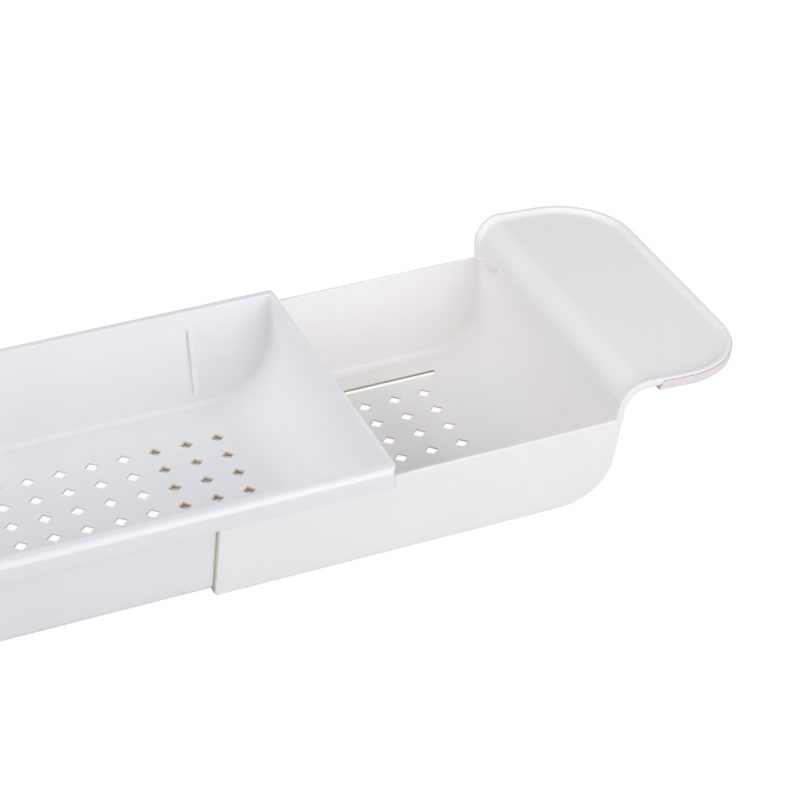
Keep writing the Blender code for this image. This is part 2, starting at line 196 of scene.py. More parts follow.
def round_off(piece: Piece, test: Test, radius: float, steps: int) -> None:
    """Round the edges that pass a test.

    Args:
        piece: The object to round.
        test: Told the edge's middle and the normals of its faces.
        radius: The rounding's radius.
        steps: Faces across it.
    """
    if pick(piece, Kind.EDGE, test):
        bpy.ops.mesh.bevel(offset_type="OFFSET", offset=radius, segments=steps, profile=0.5,
                           affect="EDGES", clamp_overlap=False)
    else:
        LOG.warning("nothing to round on %s", piece.name)
    activate(piece)


def draw_out(step: Point) -> None:
    """Extrude what is selected by a step."""
    bpy.ops.mesh.extrude_region_move(TRANSFORM_OT_translate={"value": step})


def face_outward() -> None:
    """Turn all the faces of the open mesh outward."""
    bpy.ops.mesh.select_all(action="SELECT")
    bpy.ops.mesh.normals_make_consistent(inside=False)


def modify(piece: Piece, kind: str, **settings: Any) -> None:
    """Add a modifier and apply it.

    Args:
        piece: The object to change.
        kind: The modifier's type.
        **settings: The modifier's own settings.
    """
    activate(piece)
    bpy.ops.object.modifier_add(type=kind)
    modifier = piece.modifiers[-1]
    for name, value in settings.items():
        setattr(modifier, name, value)
    bpy.ops.object.modifier_apply(modifier=modifier.name)


def join(target: Piece, tool: Piece, joining: Joining) -> None:
    """Cut or fuse one solid with another, which is used up."""
    modify(target, "BOOLEAN", operation=joining.value, solver="EXACT", object=tool)
    bpy.data.objects.remove(tool)


def clean(piece: Piece) -> None:
    """Merge flat neighbours and doubled points that the joining left.

    Args:
        piece: The solid to clean.
    """
    edit(piece)
    bpy.ops.mesh.select_all(action="SELECT")
    bpy.ops.mesh.remove_doubles(threshold=MERGE)
    bpy.ops.mesh.dissolve_limited(angle_limit=math.radians(0.05), delimit={"MATERIAL"})
    activate(piece)


def smooth(piece: Piece) -> None:
    """Shade a finished solid smooth, with sharp edges kept crisp and flat faces flat.

    Args:
        piece: The finished solid.
    """
    activate(piece)
    bpy.ops.object.shade_smooth_by_angle(angle=math.radians(32))
    modify(piece, "WEIGHTED_NORMAL", keep_sharp=True, weight=100)


def block(name: str, low: Point, high: Point) -> Piece:
    """A plain block between two corners, to be shaped further.

    Args:
        name: The object's name.
        low: Its lowest corner.
        high: Its highest corner.

    Returns:
        The block, at the origin.
    """
    low, high = Vector(low), Vector(high)
    bpy.ops.mesh.primitive_cube_add(size=1.0, location=(low + high) / 2, scale=high - low)
    return settle(name)


def mark(piece: Piece, test: Test) -> None:
    """Give the faces that pass a test the second material slot, which joining keeps.

    Args:
        piece: The shape, not yet dressed.
        test: Told the face's middle and its normal.
    """
    activate(piece)
    for _ in range(2):
        bpy.ops.object.material_slot_add()
    for face in piece.data.polygons:
        # The second slot takes the hole finish, whose tan is painted warm shade on these
        # faces.
        face.material_index = int(test(face.center, [face.normal]))


def repeat(piece: Piece, count: int, step: Point) -> None:
    """Repeat a shape in a row, so many times and so far apart."""
    modify(piece, "ARRAY", use_relative_offset=False, use_constant_offset=True,
           constant_offset_displace=step, count=count)


def copied(piece: Piece, name: str, way: Point, turn: float) -> Piece:
    """A copy with its own mesh, moved, or turned round the caddy's upright axis.

    Args:
        piece: The finished piece.
        name: The copy's name.
        way: How far it is moved.
        turn: How far it is turned, in radians.

    Returns:
        The copy, at the origin.
    """
    activate(piece)
    bpy.ops.object.duplicate(linked=False)
    bpy.ops.transform.rotate(value=turn, orient_axis="Z", center_override=(0.0, 0.0, 0.0))
    bpy.ops.transform.translate(value=way)
    return settle(name)


class Section:
    """A closed outline that is drawn from point to point, and then out to a solid."""

    def __init__(self, name: str, start: Point, *points: Point) -> None:
        """Draw straight lines from a first point through some others.

        Args:
            name: The name of the object that the outline becomes.
            start: Where the outline starts.
            *points: Where it goes on to.
        """
        bpy.ops.object.select_all(action="DESELECT")
        bpy.ops.mesh.primitive_plane_add(size=MM, location=start)
        self.piece = settle(name)
        edit(self.piece)
        bpy.ops.mesh.select_all(action="SELECT")
        bpy.ops.mesh.merge(type="CENTER")
        self.at = Vector(start)
        self.lines(*points)

    def lines(self, *points: Point) -> Section:
        """Draw straight lines on through some points.

        Args:
            *points: Where each line ends.

        Returns:
            The section, to draw on.
        """
        for point in points:
            step = Vector(point) - self.at
            bpy.ops.mesh.extrude_vertices_move(TRANSFORM_OT_translate={"value": step})
            self.at = Vector(point)
        return self

    def turn(self, centre: Point, angle: float, steps: int,
             plane: Plane = Plane.LONG) -> Section:
        """Draw an arc round a centre.

        Args:
            centre: The arc's centre, in the section's plane.
            angle: How far it turns, from X or Y towards Z, in radians.
            steps: Straight pieces along it.
            plane: The plane that it lies in.

        Returns:
            The section, to draw on.
        """
        bpy.ops.mesh.spin(steps=steps, angle=angle, center=centre, axis=plane.value)
        spin = Matrix.Rotation(-angle, 3, Vector(plane.value))
        self.at = Vector(centre) + spin @ (self.at - Vector(centre))
        return self

    def extrude(self, way: Point) -> Piece:
        """Close the outline and draw it out to a solid.

        Args:
            way: The length and direction of the solid.

        Returns:
            The solid.
        """
        bpy.ops.mesh.select_all(action="SELECT")
        bpy.ops.mesh.edge_face_add()
        draw_out(way)
        face_outward()
        activate(self.piece)
        return self.piece


# ------------------------------------------------------------------ shared sizes


@dataclass(frozen=True)
class Fits:
    """Sizes that the trays share, in metres, so that they slide inside each other."""

    hole_pitch: float = 15 * MM
    hole_half_diagonal: float = 3.3 * MM
    hole_corner: float = 0.3 * MM
    hole_chamfer: float = 0.18 * MM
    hole_land: float = 0.7 * MM
    relief_slope: float = 1.5
    hole_rows: int = 6
    centre_columns: int = 28
    side_columns: int = 6
    floor_outside_rows: float = 28.7 * MM
    draft: float = math.radians(9.7)
    wall: float = 1.7 * MM
    wall_play: float = 0.5 * MM
    floor_play: float = 0.8 * MM
    seat_gap: float = 0.3 * MM
    rail_depth: float = 2.2 * MM
    key_play: float = 0.1 * MM
    key_length: float = 10 * MM
    centre_depth: float = 46.8 * MM
    reach: float = 102.9 * MM
    slot_width: float = 4 * MM
    button_radius: float = 4.5 * MM
    lip: float = 0.45 * MM
    lip_steps: int = 3
    overrun: float = 3 * MM

    @property
    def side_floor_top(self) -> float:
        """Height of the side trays' floor."""
        return self.rail_depth + self.wall

    @property
    def centre_floor_under(self) -> float:
        """Height of the underside of the centre tray's floor."""
        return self.side_floor_top + self.floor_play

    @property
    def centre_floor_top(self) -> float:
        """Height of the centre tray's floor."""
        return self.centre_floor_under + self.wall

    @property
    def rim_top(self) -> float:
        """Height of the centre tray's rim."""
        return self.centre_floor_top + self.centre_depth

    @property
    def last_column(self) -> float:
        """X of the centre tray's outermost holes."""
        return (self.centre_columns - 1) / 2 * self.hole_pitch

    @property
    def side_origin(self) -> float:
        """X of the right side tray's outermost holes."""
        return self.last_column + self.reach

    @property
    def row_half_span(self) -> float:
        """Y of the outermost row of holes."""
        return (self.hole_rows - 1) / 2 * self.hole_pitch

    @property
    def slot_y(self) -> float:
        """Y of the guide slots."""
        return self.row_half_span + self.hole_pitch

    @property
    def key_foot(self) -> float:
        """Height of the underside of the guide keys."""
        return self.rail_depth - self.key_play

    @property
    def side_inner(self) -> float:
        """How far the side trays' inner wall face lies outside the centre tray's."""
        return self.wall + self.wall_play

    @property
    def side_outer(self) -> float:
        """How far their outer wall face lies outside the centre tray's inner one."""
        return self.side_inner + self.wall

    @property
    def drawing_y(self) -> float:
        """Y of the plane, clear of the near wall, on which long sections are drawn."""
        return -2 * self.half_width(self.rim_top, 0.0)

    def half_width(self, z: float, offset: float) -> float:
        """Half the width, at a height, between faces so far outside the centre tray's."""
        foot = self.row_half_span + self.floor_outside_rows
        return foot + offset + (z - self.centre_floor_top) * math.tan(self.draft)

    def between_walls(self, section: Section, offset: float) -> Piece:
        """Draw a long section out across the caddy and trim it to the leaning walls.

        Args:
            section: The outline, drawn on the plane Y = drawing_y.
            offset: How far the walls lie outside the centre tray's inner faces.

        Returns:
            The solid between the two walls.
        """
        piece = section.extrude((0.0, -2 * self.drawing_y, 0.0))
        base = self.half_width(self.centre_floor_top, offset)
        for side in (-1, 1):
            edit(piece)
            bpy.ops.mesh.select_all(action="SELECT")
            bpy.ops.mesh.bisect(
                plane_co=(0.0, side * base, self.centre_floor_top),
                plane_no=(0.0, side * math.cos(self.draft), -math.sin(self.draft)),
                use_fill=True, clear_outer=True)
        face_outward()
        activate(piece)
        return piece

    def drain_holes(self, first_x: float, columns: int, low: float, high: float,
                    relief: float) -> Piece:
        """One diamond drain hole, repeated over a floor.

        Args:
            first_x: X of the first column.
            columns: How many columns there are, on towards +X.
            low: Height of the floor's underside.
            high: Height of the floor's top.
            relief: How much wider the hole grows below its land, for each metre down.

        Returns:
            The solid of all the holes, with its faces in the second material slot, whose
            tan paints warm shade on the hole walls.
        """
        foot, head = high - self.hole_land, high - self.hole_chamfer
        place = (first_x, -self.row_half_span, (foot + head) / 2)
        bpy.ops.object.select_all(action="DESELECT")
        bpy.ops.mesh.primitive_cylinder_add(vertices=4, radius=self.hole_half_diagonal,
                                            depth=head - foot, location=place)
        piece = settle("drain_holes")
        round_off(piece, upright, self.hole_corner, 2)
        rise, sink = self.hole_chamfer + self.lip, foot - low + self.lip
        for step, wider, z, test in ((rise, rise, head, facing_up),
                                     (-sink, relief * sink, foot, facing_down)):
            pick(piece, Kind.FACE, test)
            draw_out((0.0, 0.0, step))
            grow = 1 + wider * math.sqrt(2) / self.hole_half_diagonal
            bpy.ops.transform.resize(value=(grow, grow, 1.0),
                                     center_override=(*place[:2], z))
        draw_out((0.0, 0.0, -self.overrun))
        # The hole walls take the hole finish: tan painted warm shade.
        mark(piece, lambda *_: True)
        repeat(piece, columns, (self.hole_pitch, 0.0, 0.0))
        repeat(piece, self.hole_rows, (0.0, self.hole_pitch, 0.0))
        return piece


@dataclass(frozen=True)
class Sweep:
    """The curve from a tray's floor up into its leaning end wall."""

    x: float
    floor: float
    radius: float
    lean: float

    @property
    def z(self) -> float:
        """Height of the curve's centre."""
        return self.floor + self.radius

    def foot(self, offset: float) -> tuple[float, float]:
        """X and Z where the curve meets the wall, so far outside the tray's inner face."""
        radius = self.radius + offset
        return self.x + radius * math.cos(self.lean), self.z - radius * math.sin(self.lean)

    def wall_x(self, z: float, offset: float = 0.0) -> float:
        """X of the end wall at a height, so far outside the tray's inner face."""
        foot_x, foot_z = self.foot(offset)
        return foot_x + (z - foot_z) * math.tan(self.lean)


# ---------------------------------------------------------------------- finishes


def linear(code: str) -> tuple[float, float, float, float]:
    """Turn an sRGB hex colour to the linear one that a shader's socket takes."""
    parts = [int(code[i:i + 2], 16) / 255 for i in (0, 2, 4)]
    return (*(c / 12.92 if c <= 0.04045 else ((c + 0.055) / 1.055) ** 2.4 for c in parts),
            1.0)


def add_node(tree: Tree, kind: str, settings: dict[str, Any] | None = None,
             inputs: dict[str | int, Any] | None = None) -> bpy.types.Node:
    """Add a node with its settings and what goes into it.

    Args:
        tree: The node tree.
        kind: The node's type.
        settings: The node's own settings.
        inputs: For each input, a value or the output that is linked to it.

    Returns:
        The new node.
    """
    node = tree.nodes.new(kind)
    for name, value in (settings or {}).items():
        setattr(node, name, value)
    for socket, value in (inputs or {}).items():
        if isinstance(value, Socket):
            tree.links.new(value, node.inputs[socket])
        else:
            node.inputs[socket].default_value = value
    return node


def mix_colours(tree: Tree, share: Socket, first: str, second: str) -> Socket:
    """Go from one sRGB hex colour to another as a pattern goes from 0 to 1."""
    inputs = {"Factor": share, 6: linear(first), 7: linear(second)}
    return add_node(tree, "ShaderNodeMix", {"data_type": "RGBA"}, inputs).outputs[2]


def seen_directly(tree: Tree) -> Socket:
    """Tell what the camera sees, also in a gloss or through glass, from what gives light.

    Args:
        tree: The node tree.

    Returns:
        An output that is 1 for what is seen and 0 for the light on other things.
    """
    rays = add_node(tree, "ShaderNodeLightPath").outputs
    seen = add_node(tree, "ShaderNodeMath", {"operation": "ADD"}, {
        0: rays["Is Camera Ray"], 1: rays["Is Glossy Ray"]})
    seen = add_node(tree, "ShaderNodeMath", {"operation": "ADD", "use_clamp": True}, {
        0: seen.outputs[0], 1: rays["Is Transmission Ray"]})
    return seen.outputs[0]


class Surface:
    """A new material on Object coordinates, with the steps that the finishes share."""

    def __init__(self, name: str, constants: dict[str, Any]) -> None:
        """Make the material.

        Args:
            name: The real material and how it was made.
            constants: What is the same all over it, for the shader's own sockets.
        """
        self.material = bpy.data.materials.new(name)
        self.material.use_nodes = True
        self.tree = self.material.node_tree
        self.shader = self.tree.nodes["Principled BSDF"]
        for socket, value in constants.items():
            self.shader.inputs[socket].default_value = value
        self.place = add_node(self.tree, "ShaderNodeTexCoord").outputs["Object"]

    def noise(self, width_mm: float, **inputs: float) -> Socket:
        """A cloudy pattern whose clouds are so wide."""
        inputs |= {"Vector": self.place, "Scale": 1 / (width_mm * MM)}
        return add_node(self.tree, "ShaderNodeTexNoise", {}, inputs).outputs["Fac"]

    def tint(self, share: Socket, first: str, second: str) -> None:
        """Colour the material from one sRGB hex colour to another, as a pattern goes."""
        mixed = mix_colours(self.tree, share, first, second)
        self.tree.links.new(mixed, self.shader.inputs["Base Color"])

    def roughen(self, share: Socket, span: dict[str, float]) -> None:
        """Spread the roughness over a span, as a pattern goes."""
        spread = add_node(self.tree, "ShaderNodeMapRange", {}, {"Value": share, **span})
        self.tree.links.new(spread.outputs["Result"], self.shader.inputs["Roughness"])

    def emboss(self, height: Socket, depth_mm: float, strength: float) -> None:
        """Raise the surface by a pattern."""
        bump = add_node(self.tree, "ShaderNodeBump", {}, {
            "Height": height, "Distance": depth_mm * MM, "Strength": strength})
        self.tree.links.new(bump.outputs["Normal"], self.shader.inputs["Normal"])


@dataclass(frozen=True)
class MouldedPlastic:
    """Thermoplastic from an injection mould, with the mould's fine spark-eroded grain.

    Attributes:
        deep_colour: Its colour where the melt ran thin, in sRGB hex as all colours are.
        translucency: Weight of the light that goes through its skin.
        light_depth_mm: How deep that light gets.
        grain_mm: Width of one grain of the mould's texture.
        flow_mm: Width of the faint clouds that the melt leaves.
    """

    name: str
    colour: str
    deep_colour: str
    roughness: float = 0.4
    roughness_spread: float = 0.04
    ior: float = 1.49
    translucency: float = 0.3
    light_depth_mm: float = 1.5
    grain_mm: float = 0.7
    grain_depth_mm: float = 0.012
    grain_strength: float = 0.6
    flow_mm: float = 45.0

    def build(self) -> Material:
        """Make the material.

        Returns:
            The material.
        """
        surface = Surface(self.name, {
            "IOR": self.ior, "Subsurface Weight": self.translucency,
            "Subsurface Radius": (1.0, 0.9, 0.8),
            "Subsurface Scale": self.light_depth_mm * MM})
        clouds = surface.noise(self.flow_mm, Detail=2.0, Roughness=0.4)
        surface.tint(clouds, self.deep_colour, self.colour)
        surface.roughen(clouds, {
            "From Min": 0.3, "From Max": 0.7,
            "To Min": self.roughness - self.roughness_spread,
            "To Max": self.roughness + self.roughness_spread})
        # The real grain is some 0.1 mm wide. It is drawn coarser, so that it shows at all.
        grain = surface.noise(self.grain_mm, Detail=3.0)
        surface.emboss(grain, self.grain_depth_mm, self.grain_strength)
        return surface.material


@dataclass(frozen=True)
class SoftGrip:
    """Thermoplastic elastomer moulded over the plastic, matt and a little dusty.

    Attributes:
        worn_colour: Its colour where it is handled.
        patch_mm: Width of the handled patches.
        stipple_mm: Width of one stipple of the mould's matt texture.
    """

    name: str
    colour: str
    worn_colour: str
    ior: float = 1.48
    sheen: float = 0.15
    sheen_roughness: float = 0.6
    least_roughness: float = 0.62
    most_roughness: float = 0.8
    patch_mm: float = 14.0
    stipple_mm: float = 0.5
    stipple_depth_mm: float = 0.04
    stipple_strength: float = 0.5

    def build(self) -> Material:
        """Make the material.

        Returns:
            The material.
        """
        surface = Surface(self.name, {"IOR": self.ior, "Sheen Weight": self.sheen,
                                      "Sheen Roughness": self.sheen_roughness})
        patches = surface.noise(self.patch_mm, Detail=3.0)
        surface.tint(patches, self.colour, self.worn_colour)
        surface.roughen(patches, {"To Min": self.least_roughness,
                                  "To Max": self.most_roughness})
        stipple = add_node(surface.tree, "ShaderNodeTexVoronoi", {"feature": "SMOOTH_F1"}, {
            "Vector": surface.place, "Scale": 1 / (self.stipple_mm * MM)})
        surface.emboss(stipple.outputs["Distance"], self.stipple_depth_mm,
                       self.stipple_strength)
        return surface.material


@dataclass(frozen=True)
class PaperSweep:
    """Matt white studio paper, which the camera sees as nearly white.

    Attributes:
        colour: Its colour under the lamps.
        fibre_colour: That of its lighter fibres.
        glow: The share of it that is plain white to the camera.
        white: The strength of that white.
    """

    name: str = "matt_studio_paper"
    colour: str = "bcbcbc"
    fibre_colour: str = "c0c0c0"
    fibre_mm: float = 2.0
    roughness: float = 0.9
    glow: float = 0.86
    white: float = 1.12

    def build(self) -> Material:
        """Make the material.

        Returns:
            The material.
        """
        surface = Surface(self.name, {"Roughness": self.roughness})
        tree = surface.tree
        surface.tint(surface.noise(self.fibre_mm), self.colour, self.fibre_colour)
        share = add_node(tree, "ShaderNodeMath", {"operation": "MULTIPLY"}, {
            0: seen_directly(tree), 1: self.glow})
        light = add_node(tree, "ShaderNodeEmission", {}, {"Strength": self.white})
        mix = add_node(tree, "ShaderNodeMixShader", {}, {
            0: share.outputs[0], 1: surface.shader.outputs[0], 2: light.outputs[0]})
        tree.links.new(mix.outputs[0], tree.nodes["Material Output"].inputs["Surface"])
        return surface.material


@dataclass(frozen=True)
class Finishes:
    """The caddy's plastics.

    Polypropylene is waxy and a little see-through, so that it has a soft sheen and its
    thin sections look warmer. The hole finish is tan: painted warm shade for the walls of
    the holes, the slots, the rails' pockets and the side trays' inner ends, over the light
    that goes through the plastic there. Acetal is denser and smoother.
    """

    centre: MouldedPlastic = MouldedPlastic(
        "injection_moulded_polypropylene_cool_white", "f0f0f0", "ededec")
    side: MouldedPlastic = MouldedPlastic(
        "injection_moulded_polypropylene_warm_white", "f8f5f1", "f5f2ee")
    # Tan painted warm shade for the shaded hole walls, slot walls, pockets and inner ends;
    # the full translucency is real light going through.
    hole: MouldedPlastic = MouldedPlastic(
        "polypropylene_seen_through_its_thickness", "fbe4d2", "f8ddc9", roughness=0.5,
        translucency=1.0, light_depth_mm=3.0)
    button: MouldedPlastic = MouldedPlastic(
        "injection_moulded_acetal_white", "e6e6e3", "e1e1dd", roughness=0.3,
        translucency=0.03, light_depth_mm=1.0, grain_mm=0.9, grain_depth_mm=0.004)
    grip: SoftGrip = SoftGrip("overmoulded_soft_elastomer", "efe4e8", "ebdfe4")


def dress(piece: Piece, *materials: Material) -> None:
    """Fill a piece's material slots in order.

    Args:
        piece: The piece.
        *materials: The materials, the main one first.
    """
    activate(piece)
    while len(piece.material_slots) < len(materials):
        bpy.ops.object.material_slot_add()
    for holder, material in zip(piece.material_slots, materials):
        holder.material = material


def install(piece: Piece, body: Body, node: str) -> None:
    """Put a finished piece in the place of its CAD node.

    Args:
        piece: The finished piece.
        body: The body that it rides on.
        node: The CAD node that it stands for.
    """
    activate(piece)
    piece.data.name = piece.name
    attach(piece, body.value)
    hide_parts(node)
    LOG.info("%s: %d faces, stands for %s on %s", piece.name, len(piece.data.polygons),
             node, body.value)


def install_pair(piece: Piece, stem: str, node: str) -> None:
    """Install a right-hand piece and its copy, turned half round, at the left end.

    Args:
        piece: The finished right-hand piece.
        stem: The two pieces' name without their side.
        node: Their CAD nodes' name without its side.
    """
    left = copied(piece, f"left_{stem}", (0.0, 0.0, 0.0), math.pi)
    piece.name = f"right_{stem}"
    install(piece, Body.RIGHT, f"{node}_right")
    install(left, Body.LEFT, f"{node}_left")


# ------------------------------------------------------------------- centre tray


@dataclass
class CentreTray:
    """The fixed middle tray, with hems that the side trays' walls run under."""

    fits: Fits
    finishes: Finishes
    sweep_start: float = 8.5 * MM
    sweep_radius: float = 32 * MM
    end_draft: float = math.radians(3)
    fillet: float = 2.5 * MM
    outer_round: float = 3 * MM
    hem_wall: float = 1.5 * MM
    hem_depth: float = 11 * MM
    hem_round: float = 3 * MM
    hem_corner: float = 4.7 * MM
    small_round: float = 0.5 * MM
    ridge_foot_width: float = 2.9 * MM
    ridge_head_width: float = 1.5 * MM
    ridge_foot_proud: float = 1.9 * MM
    ridge_head_proud: float = 3.4 * MM
    ridge_foot: float = 6.7 * MM
    ridge_head: float = 38.3 * MM
    pin_hole_radius: float = 1.1 * MM
    pin_hole_depth: float = 3.1 * MM
    pin_hole_sides: int = 24
    straight_columns: int = 3
    sweep_steps: int = 28
    fillet_steps: int = 6
    hem_steps: int = 10
    ridge_steps: int = 4

    @property
    def sweep(self) -> Sweep:
        """The curve at the right end, which the left end mirrors."""
        return Sweep(self.fits.last_column + self.sweep_start, self.fits.centre_floor_top,
                     self.sweep_radius, self.end_draft)

    @property
    def end(self) -> float:
        """X of the end wall's outer face at the rim."""
        return self.sweep.wall_x(self.fits.rim_top, self.fits.wall)

    def trough(self, name: str, offset: float, top: float, radius: float) -> Piece:
        """The long trough shape between its swept ends.

        Args:
            name: The object's name.
            offset: How far its faces lie outside the tray's inner ones.
            top: Height of its flat top.
            radius: The rounding between its run and its long walls.

        Returns:
            The solid.
        """
        y, sweep = self.fits.drawing_y, self.sweep
        head, turn = sweep.wall_x(top, offset), math.pi / 2 - self.end_draft
        foot_x, foot_z = sweep.foot(offset)
        section = Section(name, (-head, y, top), (-foot_x, y, foot_z))
        section.turn((-sweep.x, y, sweep.z), turn, self.sweep_steps)
        section.lines((sweep.x, y, sweep.floor - offset))
        section.turn((sweep.x, y, sweep.z), turn, self.sweep_steps).lines((head, y, top))
        piece = self.fits.between_walls(section, offset)

        def is_corner(_: Vector, normals: Normals) -> bool:
            """Pass an edge between the run and a long wall."""
            walls = [abs(n.y) > 0.5 for n in normals]
            return any(walls) and not all(walls) and all(n.z < 0.9 for n in normals)

        round_off(piece, is_corner, radius, self.fillet_steps)
        return piece

    def rim(self) -> Piece:
        """The tray's rim with the rolled hems along its long sides, its middle filled.

        Returns:
            The rim, as long as the tray and rounded at its corners.
        """
        fits, end, x = self.fits, self.end, -self.end - self.fits.overrun
        roof, foot = fits.rim_top - self.hem_wall, fits.rim_top - self.hem_depth
        inner = fits.side_outer + fits.wall_play
        outer, quarter = inner + self.hem_wall, -math.pi / 2
        middle_z = fits.rim_top - self.hem_round
        middle_y = fits.half_width(middle_z, outer) - self.hem_round
        near = [(x, -fits.half_width(z, offset), z) for z, offset in (
            (roof, inner), (foot, inner), (foot, outer), (middle_z, outer))]
        section = Section("rim", *near)
        section.turn((x, -middle_y, middle_z), quarter, self.hem_steps, Plane.CROSS)
        section.lines((x, middle_y, fits.rim_top))
        section.turn((x, middle_y, middle_z), quarter, self.hem_steps, Plane.CROSS)
        section.lines(*((x, -y, z) for x, y, z in reversed(near[:3])))
        piece = section.extrude((-2 * x, 0.0, 0.0))

        def is_foot(middle: Vector, _: Normals) -> bool:
            """Pass a long edge at a hem's foot."""
            return abs(middle.x) < MM and middle.z < foot + fits.lip

        round_off(piece, is_foot, self.small_round, fits.lip_steps)
        width = fits.half_width(fits.rim_top, outer)
        plan = block("plan", (-end, -width, 0.0), (end, width, fits.rim_top + fits.overrun))
        round_off(plan, upright, self.hem_corner, self.hem_steps)
        join(piece, plan, Joining.KEEP)
        return piece

    def ridge(self, x: float, side: int) -> Piece:
        """A ridge up the inner face of a long wall, which stands out more towards its head.

        Args:
            x: Where it stands along the caddy.
            side: -1 for the near wall, 1 for the far one.

        Returns:
            The ridge, its back sunk in the wall.
        """
        fits, half = self.fits, self.ridge_foot_width / 2
        foot, head = (fits.centre_floor_top + z for z in (self.ridge_foot, self.ridge_head))
        points = [(x - half, side * (fits.half_width(z, 0.0) - proud), z) for z, proud in (
            (foot, -fits.wall / 2), (foot, self.ridge_foot_proud),
            (head, self.ridge_head_proud), (head, -fits.wall / 2))]
        piece = Section("ridge", *points).extrude((2 * half, 0.0, 0.0))
        pick(piece, Kind.FACE, facing_up)
        bpy.ops.transform.resize(value=(self.ridge_head_width / half / 2, 1.0, 1.0),
                                 center_override=(x, 0.0, 0.0))
        round_off(piece, lambda _, normals: any(n.y * side < -0.7 for n in normals),
                  self.small_round, self.ridge_steps)
        return piece

    def key(self, x: float, y: float) -> Piece:
        """A guide key with the hole that its button is pressed into.

        Args:
            x: Where it stands along the caddy.
            y: Where it stands across it.

        Returns:
            The key, its head sunk in the floor.
        """
        fits, top = self.fits, self.fits.centre_floor_under + self.fits.wall / 2
        long, wide = fits.key_length / 2, fits.slot_width / 2 - fits.seat_gap
        piece = block("key", (x - long, y - wide, fits.key_foot), (x + long, y + wide, top))
        round_off(piece, upright, self.small_round, fits.lip_steps)
        depth = self.pin_hole_depth + fits.seat_gap
        bpy.ops.object.select_all(action="DESELECT")
        bpy.ops.mesh.primitive_cylinder_add(
            vertices=self.pin_hole_sides, radius=self.pin_hole_radius, depth=depth,
            location=(x, y, fits.key_foot - fits.seat_gap + depth / 2))
        join(piece, settle("pin_hole"), Joining.CUT)
        return piece

    def ease_rim(self, tray: Piece) -> None:
        """Round the edges of the rim and of the hems' ends.

        Args:
            tray: The hollowed tray.
        """
        fits, hem_end = self.fits, self.end - self.hem_corner - NEAR

        def is_lip(middle: Vector, normals: Normals) -> bool:
            """Pass an edge of the rim's flat top or of a hem's end."""
            flat = any(n.z > 0.99 for n in normals) and middle.z > fits.rim_top - fits.lip
            by_end = abs(middle.x) > hem_end
            past_wall = abs(middle.y) > fits.half_width(middle.z, fits.wall + fits.lip)
            crisp = normals[0].dot(normals[-1]) < 0.8
            walls = [abs(n.z) < 0.02 for n in normals]
            return (flat and any(abs(n.z) < 0.3 for n in normals)) or (
                by_end and past_wall and crisp and any(walls) and not all(walls))

        round_off(tray, is_lip, fits.lip, fits.lip_steps)
        clean(tray)

    def build(self) -> None:
        """Make and install the tray."""
        fits, straight = self.fits, self.straight_columns
        tray = self.trough("centre_tray_moulding", fits.wall,
                           fits.rim_top - self.hem_wall / 2, self.outer_round)
        join(tray, self.rim(), Joining.FUSE)
        hollow = self.trough("hollow", 0.0, fits.rim_top + fits.overrun, self.fillet)
        join(tray, hollow, Joining.CUT)
        clean(tray)
        self.ease_rim(tray)
        for x in (-fits.last_column, fits.last_column):
            for side in (-1, 1):
                join(tray, self.ridge(x, side), Joining.FUSE)
                join(tray, self.key(x, side * fits.slot_y), Joining.FUSE)
        # The second slot's hole finish paints warm shade, as tan, on the hole walls.
        dress(tray, self.finishes.centre.build(), self.finishes.hole.build())
        # Over the side trays the floor is a running face, so the holes there are straight.
        inner = fits.last_column - straight * fits.hole_pitch
        for first_x, columns, relief in (
                (-inner, fits.centre_columns - 2 * straight, fits.relief_slope),
                (-fits.last_column, straight, 0.0),
                (inner + fits.hole_pitch, straight, 0.0)):
            holes = fits.drain_holes(first_x, columns, fits.centre_floor_under,
                                     fits.centre_floor_top, relief)
            join(tray, holes, Joining.CUT)
        smooth(tray)
        install(tray, Body.CENTRE, "centre_tray")


# --------------------------------------------------------------------- side trays


def run_normal(normals: Normals) -> Vector | None:
    """The normal of the one face at an edge that isn't a long wall or the flange's end."""
    runs = [n for n in normals if abs(n.y) <= 0.01 and n.x <= 0.999]
    return runs[0] if len(runs) == 1 else None


